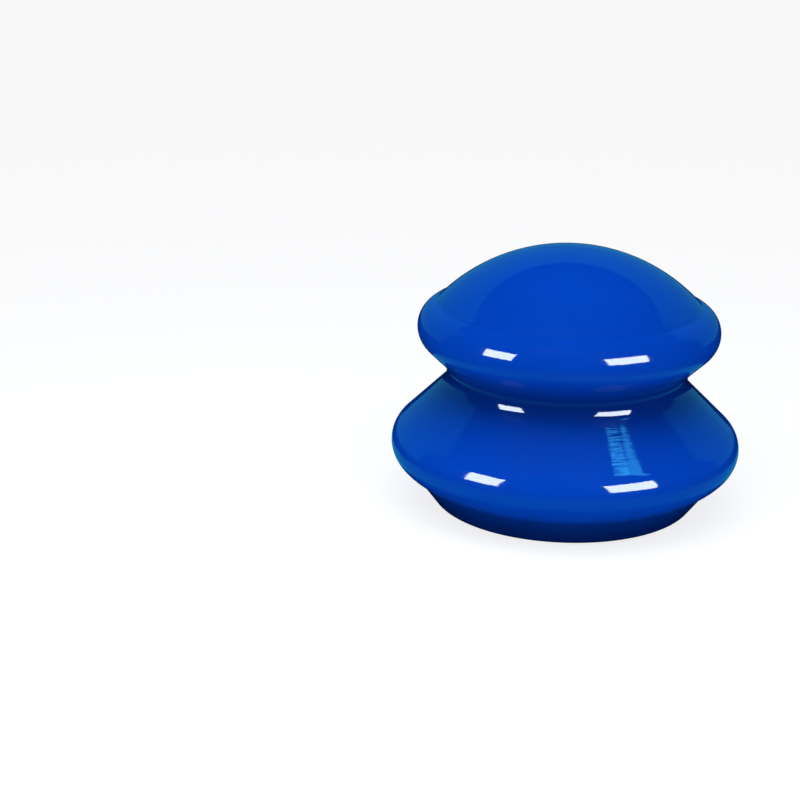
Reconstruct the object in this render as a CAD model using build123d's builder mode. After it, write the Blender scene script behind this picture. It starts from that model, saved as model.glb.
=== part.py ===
"""Silicone cupping cup: one soft moulding, modelled as the zones that move against each other.

Millimetres, +Z up. The origin is the centre of the lip's flat land, where the cup stands or
seals, and +Z runs up the axis through the waist to the dome's apex. Every zone is a ring of the
same moulded wall, cut off level, so that neighbours meet face to face with nothing between them.
"""
from build123d import *

import os
from math import hypot

# ---- Driving dimensions -------------------------------------------------------------------
WALL = 3.2  # nominal thickness of the moulded wall

# The outer outline from foot to apex: radius and height of each corner before rounding.
LIP_FOOT = (26.3, 0.0)
LIP_ROOT = (30.9, 6.1)
SKIRT_KNEE = (33.3, 7.7)
BELL_CORNER = (38.4, 13.0)
WAIST_CORNER = (23.3, 27.7)
RIM_CORNER = (35.0, 39.0)
DOME_SHOULDER = (27.1, 42.4)
DOME_HEIGHT = 54.0

LIP_FOOT_ROUND = 2.6
LIP_ROOT_ROUND = 0.8
SKIRT_KNEE_ROUND = 10.0
BELL_ROUND = 5.9
WAIST_ROUND = 3.4
RIM_ROUND = 5.2
DOME_SHOULDER_ROUND = 1.6

# The mouth's inner edge, which is a thicker bead than the wall above it.
MOUTH_RADIUS = 23.6
MOUTH_EDGE_ROUND = 0.7
MOUTH_ROOT_RADIUS = 24.2
MOUTH_ROOT_ROUND = 2.0

# Level cuts between the zones, from the foot up. The stiff rings keep their shape, and the
# cones between them are what folds when the cup is squeezed.
ZONE_TOPS = {
    "sealing_lip": 6.6,
    "bell_skirt": 10.6,
    "bell_edge": 15.2,
    "bell_shoulder": 26.2,
    "waist_band": 29.2,
    "dome_underside": 35.8,
    "dome_rim": 39.0,
    "dome_slope": 47.8,
    "dome_crown": DOME_HEIGHT,
}
CUT_WIDTH = 100.0  # wider than the bell, so that a cut takes in the whole wall


# ---- Inner outline ------------------------------------------------------------------------
def inset(before, corner, after):
    """The inner wall's corner that faces an outer one, a wall thickness in from both its sides."""
    sides = []
    for start, end in ((before, corner), (corner, after)):
        run, rise = end[0] - start[0], end[1] - start[1]
        length = hypot(run, rise)
        sides.append((-rise / length, run / length))
    (x1, z1), (x2, z2) = sides
    share = WALL / (1 + x1 * x2 + z1 * z2)
    return corner[0] + (x1 + x2) * share, corner[1] + (z1 + z2) * share


def cap_tangent_point(shoulder, apex_height):
    """A point just past the shoulder along the domed cap's own tangent there."""
    rise = apex_height - shoulder[1]
    cap_radius = (shoulder[0] ** 2 + rise**2) / (2 * rise)
    centre_height = apex_height - cap_radius
    return shoulder[0] - (shoulder[1] - centre_height), shoulder[1] + shoulder[0]


INNER_BELL = inset(SKIRT_KNEE, BELL_CORNER, WAIST_CORNER)
INNER_WAIST = inset(BELL_CORNER, WAIST_CORNER, RIM_CORNER)
INNER_RIM = inset(WAIST_CORNER, RIM_CORNER, DOME_SHOULDER)
INNER_SHOULDER = inset(RIM_CORNER, DOME_SHOULDER, cap_tangent_point(DOME_SHOULDER, DOME_HEIGHT))

# The inner skirt runs parallel to the outer one, down to the back of the lip's bead.
skirt_slope = (BELL_CORNER[1] - SKIRT_KNEE[1]) / (BELL_CORNER[0] - SKIRT_KNEE[0])
MOUTH_ROOT = (MOUTH_ROOT_RADIUS, INNER_BELL[1] - (INNER_BELL[0] - MOUTH_ROOT_RADIUS) * skirt_slope)
MOUTH_EDGE = (MOUTH_RADIUS, 0.0)

OUTER_APEX = (0.0, DOME_HEIGHT)
INNER_APEX = (0.0, DOME_HEIGHT - WALL)

ROUNDS = {
    LIP_FOOT: LIP_FOOT_ROUND,
    LIP_ROOT: LIP_ROOT_ROUND,
    SKIRT_KNEE: SKIRT_KNEE_ROUND,
    BELL_CORNER: BELL_ROUND,
    WAIST_CORNER: WAIST_ROUND,
    RIM_CORNER: RIM_ROUND,
    DOME_SHOULDER: DOME_SHOULDER_ROUND,
    MOUTH_EDGE: MOUTH_EDGE_ROUND,
    MOUTH_ROOT: MOUTH_ROOT_ROUND,
    INNER_BELL: BELL_ROUND - WALL,
    INNER_WAIST: WAIST_ROUND + WALL,
    INNER_RIM: RIM_ROUND - WALL,
    INNER_SHOULDER: DOME_SHOULDER_ROUND + WALL,
}

# ---- The moulded wall in section, right of the axis ----------------------------------------
with BuildSketch(Plane.XZ) as wall_section:
    with BuildLine():
        Polyline(
            MOUTH_EDGE, LIP_FOOT, LIP_ROOT, SKIRT_KNEE, BELL_CORNER, WAIST_CORNER, RIM_CORNER, DOME_SHOULDER
        )
        TangentArc(OUTER_APEX, DOME_SHOULDER, tangent=(1, 0))
        Line(OUTER_APEX, INNER_APEX)
        TangentArc(INNER_APEX, INNER_SHOULDER, tangent=(1, 0))
        Polyline(INNER_SHOULDER, INNER_RIM, INNER_WAIST, INNER_BELL, MOUTH_ROOT, MOUTH_EDGE)
    make_face()
    for corner, corner_round in ROUNDS.items():
        fillet(wall_section.vertices().sort_by_distance(corner)[0], radius=corner_round)


# ---- The zones -----------------------------------------------------------------------------
def make_zone(name, bottom, top):
    """One ring of the wall between two level cuts, written to its own file."""
    with BuildPart() as zone:
        with BuildSketch(Plane.XZ):
            add(wall_section.sketch_local)
            with Locations((0, (bottom + top) / 2)):
                Rectangle(CUT_WIDTH, top - bottom, mode=Mode.INTERSECT)
        revolve(axis=Axis.Z)
    zone.part.label = name
    export_step(zone.part, f"parts/{name}.step")


os.makedirs("parts", exist_ok=True)
zone_bottom = 0.0
for zone_name, zone_top in ZONE_TOPS.items():
    make_zone(zone_name, zone_bottom, zone_top)
    zone_bottom = zone_top
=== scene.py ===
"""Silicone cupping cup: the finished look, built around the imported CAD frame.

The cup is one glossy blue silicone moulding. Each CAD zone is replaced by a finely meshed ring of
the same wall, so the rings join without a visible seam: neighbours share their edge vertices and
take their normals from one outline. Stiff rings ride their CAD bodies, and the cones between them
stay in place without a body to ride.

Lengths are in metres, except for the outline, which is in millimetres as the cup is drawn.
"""
import math

import bpy
import numpy as np
from mathutils import Matrix, Vector


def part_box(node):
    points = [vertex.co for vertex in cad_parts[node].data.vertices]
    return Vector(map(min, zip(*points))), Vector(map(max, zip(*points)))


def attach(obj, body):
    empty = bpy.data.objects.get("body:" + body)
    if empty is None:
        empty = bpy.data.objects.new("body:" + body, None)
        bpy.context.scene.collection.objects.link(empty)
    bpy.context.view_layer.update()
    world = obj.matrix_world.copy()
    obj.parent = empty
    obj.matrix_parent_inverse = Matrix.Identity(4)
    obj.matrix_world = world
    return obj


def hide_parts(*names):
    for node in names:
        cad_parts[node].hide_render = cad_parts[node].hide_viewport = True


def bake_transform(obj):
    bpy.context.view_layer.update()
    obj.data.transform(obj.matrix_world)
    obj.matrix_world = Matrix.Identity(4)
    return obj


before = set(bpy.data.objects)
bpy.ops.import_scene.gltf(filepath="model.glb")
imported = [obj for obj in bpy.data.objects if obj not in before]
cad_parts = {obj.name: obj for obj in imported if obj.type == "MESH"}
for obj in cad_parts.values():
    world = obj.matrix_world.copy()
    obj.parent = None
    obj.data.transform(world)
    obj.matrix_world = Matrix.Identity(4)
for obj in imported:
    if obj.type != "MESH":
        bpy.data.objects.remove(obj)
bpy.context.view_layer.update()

MM = 0.001

# ---- The cup's outline, radius and height in millimetres ------------------------------------
WALL = 3.2
MOUTH_ROOT_RADIUS = 24.2
MOUTH_EDGE = (23.6, 0.0)
LIP_FOOT = (26.3, 0.0)
LIP_ROOT = (30.9, 6.1)
SKIRT_KNEE = (33.3, 7.7)
BELL_CORNER = (38.4, 13.0)
WAIST_CORNER = (23.3, 27.7)
RIM_CORNER = (35.0, 39.0)
DOME_SHOULDER = (27.1, 42.4)
DOME_HEIGHT = 54.0

MOUTH_ROOT_ROUND = 2.0
MOUTH_EDGE_ROUND = 0.7
LIP_FOOT_ROUND = 2.6
LIP_ROOT_ROUND = 0.8
SKIRT_KNEE_ROUND = 10.0
BELL_ROUND = 5.9
WAIST_ROUND = 3.4
RIM_ROUND = 5.2
DOME_SHOULDER_ROUND = 1.6

# The inner skin leaves the mouth's bead this far along the skirt, from its knee to the bell's edge.
BEAD_END_SHARE = 0.17

ARC_STEP = math.radians(2.5)
STRAIGHT_STEP = 0.5

# A straight stretch longer than this keeps the mould's tool marks, except near its two ends. On
# the outside only the bell's shoulder is that long, and on the inside the skirt is as well.
LONG = 9.0
MARKS_COME_IN = (0.02, 0.25)  # shares of the stretch's length
MARKS_GO_OUT = (0.85, 1.0)

# The zones from the foot up: node, and the body that it rides, or the two bodies that it lies between.
ZONES = [
    ("sealing_lip", ("lip",)),
    ("bell_skirt", ("lip", "bell")),
    ("bell_edge", ("bell",)),
    ("bell_shoulder", ("bell", "waist")),
    ("waist_band", ("waist",)),
    ("dome_underside", ("waist", "dome")),
    ("dome_rim", ("dome",)),
    ("dome_slope", ("dome", "crown")),
    ("dome_crown", ("crown",)),
]

# A trace of the mould's parting line: a hair of flash across the dome's apex. It keeps its full
# height out to the first of the two radii, and is gone at the second.
PARTING_AZIMUTHS = (math.radians(-14.0), math.radians(166.0))
PARTING_HEIGHT = 0.05
PARTING_HALF_ANGLE = 0.16 / 33.0
PARTING_FADES = (3.0, 9.0)

# The waist's groove lies inside the straight line from the bell's bulge to the rim's.
BELL_BULGE = (36.0, 13.0)
RIM_BULGE = (30.9, 38.6)
GROOVE_DEPTH = 8.2

# Painted shade in the waist's groove, darkening the colour where shade falls: what depth in the groove
# counts for at each bulge, more on the upper side, which faces down. The result is raised to the power of
# the curve.
SHADE_AT_BELL = 0.15
SHADE_AT_RIM = 1.50
SHADE_CURVE = 1.3
# Painted shade inside the cavity: the inner skin goes from none to its own value between these two heights.
CAVITY_SHADE_GROWS = (2.0, 26.0)
CAVITY_SHADE = 0.6

COLUMNS = 288


# ---- Outline ----------------------------------------------------------------------------------
class Outline:
    """Rows of the wall's skin: radius, height, outward normal and share of tool marks."""

    def __init__(self):
        self.rows = []

    def put(self, point, normal, marks):
        if self.rows and np.hypot(*np.subtract(point, self.rows[-1][:2])) < 1e-6:
            return
        self.rows.append((*point, *normal, marks))

    def line(self, start, end):
        """A straight stretch. A long one keeps tool marks, which fade out at both its ends."""
        run = np.subtract(end, start)
        length = np.hypot(*run)
        along = run / length
        steps = max(1, math.ceil(length / STRAIGHT_STEP))
        for share in np.linspace(0.0, 1.0, steps + 1):
            marks = 0.0
            if length > LONG:
                marks = smooth(share, *MARKS_COME_IN) * (1 - smooth(share, *MARKS_GO_OUT))
            self.put(start + run * share, (along[1], -along[0]), marks)

    def arc(self, centre, radius, first, last):
        """A polished round. The wall is inside it if it turns anticlockwise, and else outside."""
        outward = 1.0 if last > first else -1.0
        steps = max(2, math.ceil(abs(last - first) / ARC_STEP))
        for angle in np.linspace(first, last, steps + 1):
            ray = np.array((math.cos(angle), math.sin(angle)))
            self.put(centre + radius * ray, outward * ray, 0.0)


def smooth(value, start, end):
    share = min(1.0, max(0.0, (value - start) / (end - start)))
    return share * share * (3 - 2 * share)


def unit(vector):
    return np.asarray(vector) / np.hypot(*vector)


def heading(vector):
    return math.atan2(vector[1], vector[0])


def signed_turn(start, end):
    return (end - start + math.pi) % (2 * math.pi) - math.pi


def round_corner(before, corner, after, radius):
    """The arc that rounds a corner: its centre, first and last angle, and the points at its ends."""
    arriving, leaving = unit(np.subtract(corner, before)), unit(np.subtract(after, corner))
    turn = signed_turn(heading(arriving), heading(leaving))
    side = math.copysign(math.pi / 2, turn)
    back = radius * math.tan(abs(turn) / 2)
    start, end = corner - back * arriving, corner + back * leaving
    to_centre = heading(arriving) + side
    centre = start + radius * np.array((math.cos(to_centre), math.sin(to_centre)))
    first = heading(arriving) - side
    return centre, first, first + turn, start, end


def add_dome_top(outline, slope_start):
    """The dome's slope, the hollow round at its shoulder and the cap, which is an arc about the axis."""
    rise = DOME_HEIGHT - DOME_SHOULDER[1]
    cap_radius = (DOME_SHOULDER[0] ** 2 + rise**2) / (2 * rise)
    cap_centre = np.array((0.0, DOME_HEIGHT - cap_radius))
    along = unit(np.subtract(DOME_SHOULDER, slope_start))
    outward = np.array((along[1], -along[0]))
    # The round's centre stands its radius off the slope, and its radius off the cap.
    beside_shoulder = DOME_SHOULDER + DOME_SHOULDER_ROUND * outward
    from_cap = beside_shoulder - cap_centre
    half = from_cap @ along
    reach = cap_radius + DOME_SHOULDER_ROUND
    centre = beside_shoulder - (half + math.sqrt(half**2 - from_cap @ from_cap + reach**2)) * along
    first, last = heading(-outward), heading(cap_centre - centre)
    outline.line(slope_start, centre - DOME_SHOULDER_ROUND * outward)
    outline.arc(centre, DOME_SHOULDER_ROUND, first, first + signed_turn(first, last))
    outline.arc(cap_centre, cap_radius, heading(centre - cap_centre), math.pi / 2)


def cup_skins():
    """The outside and the inside of the wall, each as rows that run from the foot up to the axis."""
    skirt = np.subtract(BELL_CORNER, SKIRT_KNEE)
    bead_end = SKIRT_KNEE + BEAD_END_SHARE * skirt
    inner_bead_end = bead_end - WALL * np.array((skirt[1], -skirt[0])) / np.hypot(*skirt)
    bead_rise = (inner_bead_end[0] - MOUTH_ROOT_RADIUS) * skirt[1] / skirt[0]
    mouth_root = (MOUTH_ROOT_RADIUS, inner_bead_end[1] - bead_rise)
    rounded = [
        (mouth_root, MOUTH_ROOT_ROUND),
        (MOUTH_EDGE, MOUTH_EDGE_ROUND),
        (LIP_FOOT, LIP_FOOT_ROUND),
        (LIP_ROOT, LIP_ROOT_ROUND),
        (SKIRT_KNEE, SKIRT_KNEE_ROUND),
        (BELL_CORNER, BELL_ROUND),
        (WAIST_CORNER, WAIST_ROUND),
        (RIM_CORNER, RIM_ROUND),
    ]
    corners = [inner_bead_end] + [corner for corner, _ in rounded] + [DOME_SHOULDER]
    outline = Outline()
    at = inner_bead_end
    for i, (corner, radius) in enumerate(rounded):
        centre, first, last, start, end = round_corner(corners[i], corner, corners[i + 2], radius)
        outline.line(at, start)
        outline.arc(centre, radius, first, last)
        at = end
    add_dome_top(outline, at)
    rows = np.array(outline.rows)
    foot = int(np.argmin(rows[:, 1]))
    outside, bead = rows[foot:], rows[: foot + 1]
    # Above the bead the inner skin lies one wall inside the outer one.
    lining = outside[outside[:, 1] > bead_end[1]].copy()
    lining[:, :2] -= WALL * lining[:, 2:4]
    lining[:, 2:4] *= -1
    lining = lining[lining[:, 1] > inner_bead_end[1] + 1e-3]
    inside = np.vstack((bead[::-1], lining))
    return outside, inside


def stretch(rows, low, high):
    """The rows of a skin between two heights, with a row exactly on each. None leaves that end whole."""
    heights = rows[:, 1]
    margin = 1e-4
    above = heights > (-math.inf if low is None else low + margin)
    below = heights < (math.inf if high is None else high - margin)
    kept = rows[above & below]
    # Only the rows above the flat land are in order of height.
    rising = rows[int(np.argmax(heights > margin)) :]
    if low is not None:
        kept = np.vstack(([np.interp(low, rising[:, 1], column) for column in rising.T], kept))
    if high is not None:
        kept = np.vstack((kept, [np.interp(high, rising[:, 1], column) for column in rising.T]))
    kept[:, 2:4] /= np.hypot(kept[:, 2], kept[:, 3])[:, None]
    return kept


# ---- Rings of the wall ------------------------------------------------------------------------
def column_angles():
    """Even columns round the axis, with a few more across each parting line."""
    even = np.arange(COLUMNS) * 2 * math.pi / COLUMNS
    near = [abs(signed_turn(a, p)) for p in PARTING_AZIMUTHS for a in even]
    clear = np.array(near).reshape(len(PARTING_AZIMUTHS), -1).min(axis=0) > 2 * PARTING_HALF_ANGLE
    across = [p + k * PARTING_HALF_ANGLE for p in PARTING_AZIMUTHS for k in (-1.0, -0.5, 0.0, 0.5, 1.0)]
    return np.sort(np.concatenate((even[clear], np.mod(across, 2 * math.pi))))


def parting_line(angles):
    """Height of the flash at each column, and how fast it rises along the angle."""
    height, rise = np.zeros_like(angles), np.zeros_like(angles)
    for azimuth in PARTING_AZIMUTHS:
        share = (np.mod(angles - azimuth + math.pi, 2 * math.pi) - math.pi) / PARTING_HALF_ANGLE
        on_it = np.abs(share) < 1
        height[on_it] = PARTING_HEIGHT * np.cos(math.pi / 2 * share[on_it]) ** 2
        rise[on_it] = -PARTING_HEIGHT * math.pi / 2 * np.sin(math.pi * share[on_it]) / PARTING_HALF_ANGLE
    return height, rise


def painted_shade_share(radius, height, outer):
    """How much painted shade a point takes from the groove or the cavity that it lies in, from 0 to about 1.
    """
    if not outer:
        return CAVITY_SHADE * smooth(height, *CAVITY_SHADE_GROWS)
    share = (height - BELL_BULGE[1]) / (RIM_BULGE[1] - BELL_BULGE[1])
    if not 0 < share < 1:
        return 0.0
    across = BELL_BULGE[0] + share * (RIM_BULGE[0] - BELL_BULGE[0])
    weight = SHADE_AT_BELL + share * (SHADE_AT_RIM - SHADE_AT_BELL)
    return max(0.0, weight * (across - radius) / GROOVE_DEPTH) ** SHADE_CURVE


class Ring:
    """A closed mesh that turns rows of the outline about the axis."""

    def __init__(self):
        self.angles = column_angles()
        self.cos, self.sin = np.cos(self.angles), np.sin(self.angles)
        self.flash = parting_line(self.angles)
        self.points, self.normals, self.marks, self.painted_shade_shares = [], [], [], []
        self.faces, self.face_normals = [], []
        self.count = 0

    def add_row(self, row, outer):
        """One row turned about the axis, or a single point where it meets the axis."""
        radius, height, normal_out, normal_up, marks = row
        if radius < 1e-4:
            points, normals = np.array([[0, 0, height]]), np.array([[0, 0, normal_up]])
        else:
            points = np.column_stack((radius * self.cos, radius * self.sin, np.full_like(self.cos, height)))
            normals = np.column_stack(
                (normal_out * self.cos, normal_out * self.sin, np.full_like(self.cos, normal_up))
            )
            if outer:
                share = 1 - smooth(radius, *PARTING_FADES)
                points = points + normals * (share * self.flash[0])[:, None]
                across = np.column_stack((-self.sin, self.cos, np.zeros_like(self.cos)))
                normals = normals - across * (share * self.flash[1] / radius)[:, None]
                normals /= np.linalg.norm(normals, axis=1)[:, None]
        ids = np.arange(self.count, self.count + len(points))
        self.count += len(points)
        self.points.append(points)
        self.normals.append(normals)
        self.marks.append(np.full(len(points), marks))
        self.painted_shade_shares.append(np.full(len(points), painted_shade_share(radius, height, outer)))
        return ids

    def add_strip(self, lower, upper, flat=None):
        """Faces between two rows. A flat strip is one of the level cuts and takes its own normal."""
        a, b = np.resize(lower, self.angles.size), np.resize(upper, self.angles.size)
        a_next, b_next = np.roll(a, -1), np.roll(b, -1)
        if len(lower) == 1:
            faces = np.column_stack((a, b_next, b))
        elif len(upper) == 1:
            faces = np.column_stack((a, a_next, b))
        else:
            faces = np.column_stack((a, a_next, b_next, b))
        self.faces.extend(faces.tolist())
        self.face_normals.extend([flat] * len(faces))

    def add_skin(self, rows, outer):
        """The faces along a run of rows, given upwards on the outside and downwards on the inside."""
        ids = [self.add_row(row, outer) for row in rows]
        for lower, upper in zip(ids, ids[1:]):
            self.add_strip(lower, upper)
        return ids[0], ids[-1]

    def build(self, name):
        points, normals = np.vstack(self.points) * MM, np.vstack(self.normals)
        mesh = bpy.data.meshes.new(name)
        mesh.from_pydata(points.tolist(), [], self.faces)
        mesh.polygons.foreach_set("use_smooth", [True] * len(mesh.polygons))
        loop_normals = [
            normals[vertex] if flat is None else flat
            for face, flat in zip(self.faces, self.face_normals)
            for vertex in face
        ]
        mesh.normals_split_custom_set(loop_normals)
        at_rest = mesh.attributes.new("rest_place", "FLOAT_VECTOR", "POINT")
        at_rest.data.foreach_set("vector", points.ravel())
        # Each point also keeps its tool marks and its share of painted shade for the colour.
        for label, values in (("tool_marks", self.marks), ("painted_shade", self.painted_shade_shares)):
            attribute = mesh.attributes.new(label, "FLOAT", "POINT")
            attribute.data.foreach_set("value", np.concatenate(values))
        piece = bpy.data.objects.new(name, mesh)
        bpy.context.scene.collection.objects.link(piece)
        return piece


UP, DOWN = (0.0, 0.0, 1.0), (0.0, 0.0, -1.0)


def make_zone(node, outside, inside):
    """The finished ring that stands for one CAD zone, between that zone's own two level cuts."""
    low, high = (corner.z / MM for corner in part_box(node))
    first, last = node == ZONES[0][0], node == ZONES[-1][0]
    outer_rows = stretch(outside, None if first else low, None if last else high)
    inner_rows = stretch(inside, None if first else low, None if last else high)[::-1]
    ring = Ring()
    if first:
        inner_top, foot = ring.add_skin(inner_rows[:-1], outer=False)
        outer_foot, outer_top = ring.add_skin(outer_rows, outer=True)
        ring.add_strip(foot, outer_foot)
        ring.add_strip(outer_top, inner_top, UP)
        return ring.build(node + "_skin")
    outer_foot, outer_top = ring.add_skin(outer_rows, outer=True)
    inner_top, inner_foot = ring.add_skin(inner_rows, outer=False)
    if not last:
        ring.add_strip(outer_top, inner_top, UP)
    ring.add_strip(inner_foot, outer_foot, DOWN)
    return ring.build(node + "_skin")


def place_zone(piece, node, bodies):
    """Hides the CAD zone, and rides a stiff ring on its body or leaves a cone between two bodies in place,
    with its transform applied.
    """
    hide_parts(node)
    if len(bodies) == 1:
        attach(piece, bodies[0])
        return
    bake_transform(piece)


# ---- Silicone ---------------------------------------------------------------------------------
PIGMENT = ((0.0003, 0.052, 0.485, 1.0), (0.0005, 0.060, 0.525, 1.0))
# Painted shade: the colour darkens towards this one in the waist's groove and inside the cavity.
PAINTED_SHADE_COLOUR = (0.0001, 0.003, 0.050, 1.0)
DARKEST_SHADE_SHARE = 0.7  # how far the painted shade takes the colour towards the dark one, where it is strongest
POLISH = (0.045, 0.085)
RUBBED_ROUGHNESS = 0.25
RUBBED_HEIGHT = 0.0006
MARKS_FREQUENCY = (60.0, 60.0, 2600.0)
MARKS_RELIEF = 0.000016
WAVES_RELIEF = 0.000010


class Nodes:
    """Adds shader nodes and links them, so that a material reads from its sources to its shader."""

    def __init__(self, tree):
        self.tree = tree

    def add(self, kind, **settings):
        node = self.tree.nodes.new(kind)
        for key, value in settings.items():
            setattr(node, key, value)
        return node

    def link(self, source, socket):
        self.tree.links.new(source, socket)

    def noise(self, place, scale, detail=2.0, roughness=0.5):
        node = self.add("ShaderNodeTexNoise")
        self.link(place, node.inputs["Vector"])
        node.inputs["Scale"].default_value = scale
        node.inputs["Detail"].default_value = detail
        node.inputs["Roughness"].default_value = roughness
        return node.outputs["Fac"]

    def math(self, operation, first, second):
        node = self.add("ShaderNodeMath", operation=operation)
        for socket, value in zip(node.inputs, (first, second)):
            if isinstance(value, (int, float)):
                socket.default_value = value
            else:
                self.link(value, socket)
        return node.outputs[0]

    def spread(self, value, low, high, to_low, to_high):
        node = self.add("ShaderNodeMapRange")
        self.link(value, node.inputs["Value"])
        for key, number in zip(("From Min", "From Max", "To Min", "To Max"), (low, high, to_low, to_high)):
            node.inputs[key].default_value = number
        return node.outputs["Result"]

    def bump(self, height, distance, over=None):
        node = self.add("ShaderNodeBump")
        self.link(height, node.inputs["Height"])
        node.inputs["Distance"].default_value = distance
        if over is not None:
            self.link(over, node.inputs["Normal"])
        return node.outputs["Normal"]


def silicone():
    """Pigmented platinum silicone from a polished mould: glossy, a little translucent at the surface."""
    material = bpy.data.materials.new("blue_silicone")
    material.use_nodes = True
    nodes = Nodes(material.node_tree)
    shader = material.node_tree.nodes["Principled BSDF"]
    place = nodes.add("ShaderNodeAttribute", attribute_name="rest_place").outputs["Vector"]
    marks = nodes.add("ShaderNodeAttribute", attribute_name="tool_marks").outputs["Fac"]
    height = nodes.add("ShaderNodeSeparateXYZ")
    nodes.link(place, height.inputs[0])

    # Colour: pigment that is mixed almost evenly, with painted shade that darkens it in the waist's
    # groove and inside the cavity, where less light reaches and soaks through the wall.
    cloud = nodes.noise(place, scale=70.0, detail=3.0)
    pigment = nodes.add("ShaderNodeMix", data_type="RGBA")
    pigment.inputs["A"].default_value, pigment.inputs["B"].default_value = PIGMENT
    nodes.link(cloud, pigment.inputs["Factor"])
    painted_shade = nodes.add("ShaderNodeAttribute", attribute_name="painted_shade").outputs["Fac"]
    shaded_pigment = nodes.add("ShaderNodeMix", data_type="RGBA")
    shaded_pigment.inputs["B"].default_value = PAINTED_SHADE_COLOUR
    nodes.link(nodes.math("MULTIPLY", painted_shade, DARKEST_SHADE_SHARE), shaded_pigment.inputs["Factor"])
    nodes.link(pigment.outputs["Result"], shaded_pigment.inputs["A"])
    nodes.link(shaded_pigment.outputs["Result"], shader.inputs["Base Color"])

    # Roughness: a polished skin with faint handling smears, duller on the land that it stands on.
    smears = nodes.noise(place, scale=160.0, detail=4.0, roughness=0.6)
    polish = nodes.spread(smears, 0.35, 0.75, *POLISH)
    rubbed = nodes.spread(height.outputs["Z"], 0.0, RUBBED_HEIGHT, RUBBED_ROUGHNESS, 0.0)
    nodes.link(nodes.math("ADD", polish, rubbed), shader.inputs["Roughness"])

    # Relief: the ring marks that a turned mould leaves on the long cones, and a slight waviness.
    rings = nodes.add("ShaderNodeVectorMath", operation="MULTIPLY")
    rings.inputs[1].default_value = MARKS_FREQUENCY
    nodes.link(place, rings.inputs[0])
    turning = nodes.noise(rings.outputs["Vector"], scale=1.0, detail=2.0, roughness=0.6)
    turned = nodes.bump(nodes.math("MULTIPLY", turning, marks), distance=MARKS_RELIEF)
    waves = nodes.noise(place, scale=420.0, detail=1.0)
    nodes.link(nodes.bump(waves, distance=WAVES_RELIEF, over=turned), shader.inputs["Normal"])

    shader.inputs["IOR"].default_value = 1.46
    shader.inputs["Subsurface Weight"].default_value = 0.08
    shader.inputs["Subsurface Radius"].default_value = (0.2, 0.5, 1.0)
    shader.inputs["Subsurface Scale"].default_value = 0.0012
    return material


# ---- Studio -----------------------------------------------------------------------------------
BLACK = (0.0, 0.0, 0.0)
COOL_WHITE = (0.88, 0.96, 1.0)
SKY_BLUE = (0.06, 0.62, 1.0)

CUP_MIDDLE = Vector((0.0, 0.0, 0.025))
BELL_SHOULDER = Vector((0.015, -0.030, 0.018))  # its front right
CARD_HEIGHT = -0.0002  # the cards that stand for the table lie just under the floor
SHADE_HEIGHT = -0.0003

TWICE_MIRRORED = 0.03  # what a reflection of a reflection keeps of a light

FILL_FROM_BELOW = (0.06, 0.062, 0.065, 1)
FILL_FROM_ABOVE = (0.58, 0.59, 0.61, 1)
MIRRORED_ROOM = (0.001, 0.006, 0.010, 1)
SHOWN_ROOM = (0.935, 0.935, 0.94, 1)


def plain_material(name, colour, glow):
    """Matt paper of one colour that also glows evenly, or a black card that only glows."""
    material = bpy.data.materials.new(name)
    material.use_nodes = True
    shader = material.node_tree.nodes["Principled BSDF"]
    shader.inputs["Base Color"].default_value = (*colour, 1.0)
    shader.inputs["Roughness"].default_value = 0.9
    shader.inputs["Specular IOR Level"].default_value = 0.0
    shader.inputs["Emission Color"].default_value = (*glow, 1.0)
    shader.inputs["Emission Strength"].default_value = 1.0
    return material


def seen_by(thing, camera=False, diffuse=False, glossy=False, shadow=False):
    """Which rays a stage object answers to."""
    thing.visible_camera = camera
    thing.visible_diffuse = diffuse
    thing.visible_glossy = glossy
    thing.visible_transmission = glossy
    thing.visible_shadow = shadow


def toward(azimuth, elevation):
    """The direction from the cup to a light. Azimuth 0 is the front, -Y, and 90 the right, +X."""
    a, e = math.radians(azimuth), math.radians(elevation)
    return Vector((math.sin(a) * math.cos(e), -math.cos(a) * math.cos(e), math.sin(e)))


def dim_when_mirrored_twice(light):
    """Keeps a light's reflection of a reflection faint. A first reflection has a depth of 1 or 2."""
    light.use_nodes = True
    nodes = Nodes(light.node_tree)
    depth = nodes.add("ShaderNodeLightPath").outputs["Ray Depth"]
    strength = nodes.spread(depth, 2.0, 3.0, 1.0, TWICE_MIRRORED)
    nodes.link(strength, light.node_tree.nodes["Emission"].inputs["Strength"])


def soft_box(
    name,
    low,
    high,
    width,
    radiance,
    tint=COOL_WHITE,
    aim=CUP_MIDDLE,
    distance=0.58,
    glossy=False,
    diffuse=False,
):
    """A rectangular light, given as its aim sees it.

    Low and high are the azimuth and elevation of the middles of two opposite edges, and width is
    the angle across, all in degrees.
    """
    low, high = toward(*low), toward(*high)
    light = bpy.data.lights.new(name, "AREA")
    light.shape = "RECTANGLE"
    light.size = 2 * distance * math.tan(math.radians(width) / 2)
    light.size_y = 2 * distance * math.tan(low.angle(high) / 2)
    light.energy = radiance * light.size * light.size_y * math.pi
    light.color = tint
    if glossy:
        dim_when_mirrored_twice(light)
    box = bpy.data.objects.new(name, light)
    away = (low + high).normalized()
    upward = (high - low).normalized()
    box.location = away * distance + aim
    box.rotation_euler = Matrix((upward.cross(away), upward, away)).transposed().to_euler()
    bpy.context.scene.collection.objects.link(box)
    seen_by(box, diffuse=diffuse, glossy=glossy, shadow=True)
    return box


def card(name, points, faces, material, **rays):
    """A stage sheet that answers to the given rays only."""
    mesh = bpy.data.meshes.new(name)
    mesh.from_pydata(points, [], faces)
    mesh.materials.append(material)
    sheet = bpy.data.objects.new(name, mesh)
    bpy.context.scene.collection.objects.link(sheet)
    seen_by(sheet, **rays)


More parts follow.
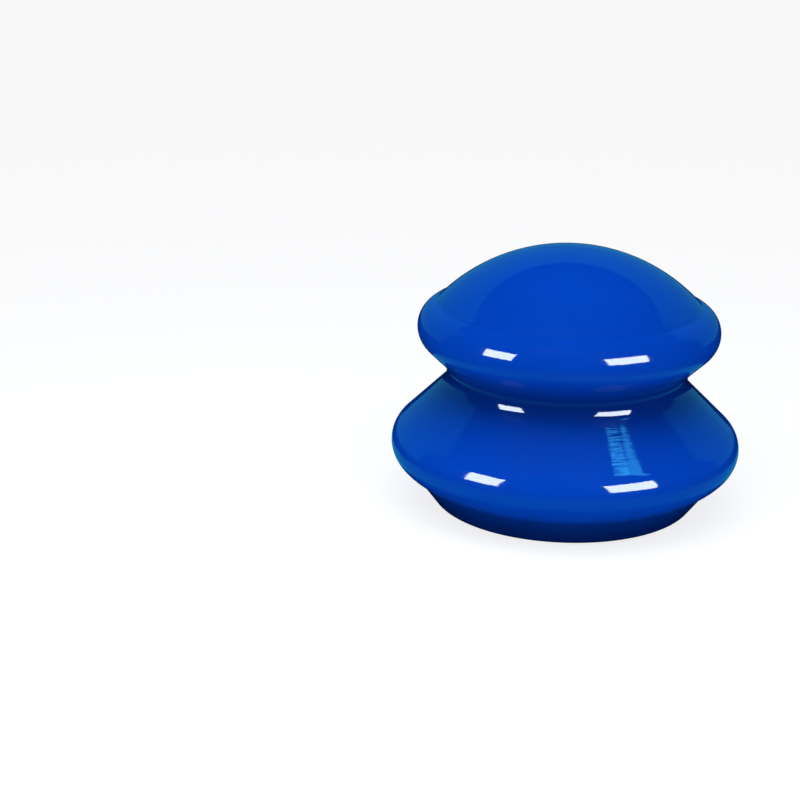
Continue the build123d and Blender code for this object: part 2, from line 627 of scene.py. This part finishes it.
def flat_ring(inner, outer, height, steps=96):
    """Points and faces of a level ring round the axis."""
    angles = np.linspace(0, 2 * math.pi, steps, endpoint=False)
    points = [(r * math.cos(a), r * math.sin(a), height) for r in (inner, outer) for a in angles]
    faces = [(k, (k + 1) % steps, steps + (k + 1) % steps, steps + k) for k in range(steps)]
    return points, [face[::-1] for face in faces]


def backdrop(azimuths, elevations, distance, steps=48):
    """Points and faces of an upright sheet, curved round the cup between these angles."""
    low, high = (distance * math.tan(math.radians(e)) for e in elevations)
    points = []
    for azimuth in np.linspace(*azimuths, steps + 1):
        foot = toward(azimuth, 0.0) * distance
        points += [(foot.x, foot.y, low), (foot.x, foot.y, high)]
    return points, [(2 * k, 2 * k + 2, 2 * k + 3, 2 * k + 1) for k in range(steps)]


def make_cards():
    """The pale floor, the cards that light or shade the cup from below, and those that it mirrors."""
    square = [(-4, -4, 0), (4, -4, 0), (4, 4, 0), (-4, 4, 0)]
    paper = plain_material("floor_paper", colour=(0.30, 0.30, 0.30), glow=(0.80, 0.80, 0.805))
    card("floor", square, [(0, 1, 2, 3)], paper, camera=True)
    bounce = flat_ring(0.054, 0.11, CARD_HEIGHT)
    bounce_glow = plain_material("bounce_glow", colour=BLACK, glow=(2.2, 2.2, 2.2))
    card("table_bounce", *bounce, bounce_glow, diffuse=True)
    under_lip = flat_ring(0.0225, 0.0309, SHADE_HEIGHT)
    card("lip_shade", *under_lip, plain_material("shade", colour=BLACK, glow=BLACK), shadow=True)
    table = flat_ring(0.040, 0.069, CARD_HEIGHT)
    table_glow = plain_material("table_glow", colour=BLACK, glow=(0.02, 0.30, 0.42))
    card("mirrored_table", *table, table_glow, glossy=True)
    behind = backdrop(azimuths=(110.0, 250.0), elevations=(-2.0, 43.0), distance=0.9)
    backdrop_glow = plain_material("backdrop_glow", colour=BLACK, glow=(0.03, 0.25, 0.34))
    card("mirrored_backdrop", *behind, backdrop_glow, glossy=True)


def make_world():
    """Pale to the camera, dark to reflections, and to the cup's colour a fill that comes from above."""
    world = bpy.data.worlds.new("studio")
    bpy.context.scene.world = world
    world.use_nodes = True
    nodes = Nodes(world.node_tree)
    background = world.node_tree.nodes["Background"]
    path = nodes.add("ShaderNodeLightPath")
    direction = nodes.add("ShaderNodeSeparateXYZ")
    nodes.link(nodes.add("ShaderNodeTexCoord").outputs["Generated"], direction.inputs[0])
    height = nodes.spread(direction.outputs["Z"], -0.3, 1.0, 0.0, 1.0)
    fill = nodes.add("ShaderNodeMix", data_type="RGBA")
    fill.inputs["A"].default_value = FILL_FROM_BELOW
    fill.inputs["B"].default_value = FILL_FROM_ABOVE
    nodes.link(height, fill.inputs["Factor"])
    room = nodes.add("ShaderNodeMix", data_type="RGBA")
    room.inputs["B"].default_value = MIRRORED_ROOM
    nodes.link(fill.outputs["Result"], room.inputs["A"])
    nodes.link(path.outputs["Is Glossy Ray"], room.inputs["Factor"])
    shown = nodes.add("ShaderNodeMix", data_type="RGBA")
    shown.inputs["B"].default_value = SHOWN_ROOM
    nodes.link(room.outputs["Result"], shown.inputs["A"])
    nodes.link(path.outputs["Is Camera Ray"], shown.inputs["Factor"])
    nodes.link(shown.outputs["Result"], background.inputs["Color"])


def lights_only(light, pieces):
    """Links a light to the given pieces, so that nothing else catches it."""
    caught_by = bpy.data.collections.new(light.name + "_on")
    for piece in pieces:
        caught_by.objects.link(piece)
    light.light_linking.receiver_collection = caught_by


def make_lights(rings):
    """Two soft boxes that the gloss shows crisply, softer keys for the colour, and three for details."""
    soft_box("right_box", (40.0, 5.5), (40.0, 30.5), width=31.5, radiance=24.0, glossy=True)
    soft_box("left_box", (-56.5, 4.0), (-56.5, 30.0), width=23.0, radiance=24.0, glossy=True)
    soft_box("front_key", (-12.0, 40.0), (-12.0, 74.0), width=70.0, radiance=2.8, distance=0.2, diffuse=True)
    back_key = soft_box("back_key", (180.0, 0.0), (180.0, 24.0), width=60.0, radiance=1.6, diffuse=True)
    lights_only(back_key, rings.values())
    # Light off the table on the skirt, which overhangs the lip. A shade keeps it off the lip itself.
    below = dict(width=12.0, radiance=36.0, diffuse=True)
    skirt_bounce = soft_box("skirt_bounce", (0.0, -84.0), (180.0, -84.0), **below)
    lights_only(skirt_bounce, [rings[node] for node in ("sealing_lip", "bell_skirt", "bell_edge")])
    # Two high panels that the bell's shoulder catches, through the ring marks of its mould.
    look = dict(tint=SKY_BLUE, aim=BELL_SHOULDER, glossy=True)
    panel = soft_box("high_panel", (71.5, 50.0), (71.5, 60.8), width=5.7, radiance=6.4, **look)
    edge = soft_box("high_edge", (67.0, 60.6), (55.5, 65.5), width=2.2, radiance=10.0, **look)
    for light in (panel, edge):
        lights_only(light, (rings["bell_edge"], rings["bell_shoulder"]))


# ---- Camera -----------------------------------------------------------------------------------
FOCAL_SHARE = 2.456  # focal length over the frame's width
SENSOR_WIDTH = 36.0
CUP_DISTANCE = 0.41575
CUP_RIGHT_OF_CENTRE = 0.0823  # tangents of the foot's centre as the camera sees it
CUP_BELOW_CENTRE = 0.0497
PITCH = 0.310
ROLL = 0.013


def make_camera():
    """The viewing angle: a little above the cup, which stands right of centre and slightly low."""
    camera_data = bpy.data.cameras.new("camera")
    camera_data.sensor_width = SENSOR_WIDTH
    camera_data.lens = FOCAL_SHARE * SENSOR_WIDTH
    camera_data.clip_start = 0.01
    camera = bpy.data.objects.new("camera", camera_data)
    bpy.context.scene.collection.objects.link(camera)
    turn = Matrix.Rotation(math.pi / 2 - PITCH, 3, "X") @ Matrix.Rotation(ROLL, 3, "Z")
    to_foot = Vector((CUP_RIGHT_OF_CENTRE, -CUP_BELOW_CENTRE, -1.0)).normalized()
    camera.location = -(turn @ to_foot) * CUP_DISTANCE
    camera.rotation_euler = turn.to_euler()
    bpy.context.scene.camera = camera


# ---- Scene ------------------------------------------------------------------------------------
bpy.context.scene.view_settings.view_transform = "Standard"
make_camera()
make_world()
make_cards()

outside_skin, inside_skin = cup_skins()
blue_silicone = silicone()
rings = {}
for zone_node, zone_bodies in ZONES:
    rings[zone_node] = make_zone(zone_node, outside_skin, inside_skin)
    rings[zone_node].data.materials.append(blue_silicone)
    place_zone(rings[zone_node], zone_node, zone_bodies)
make_lights(rings)
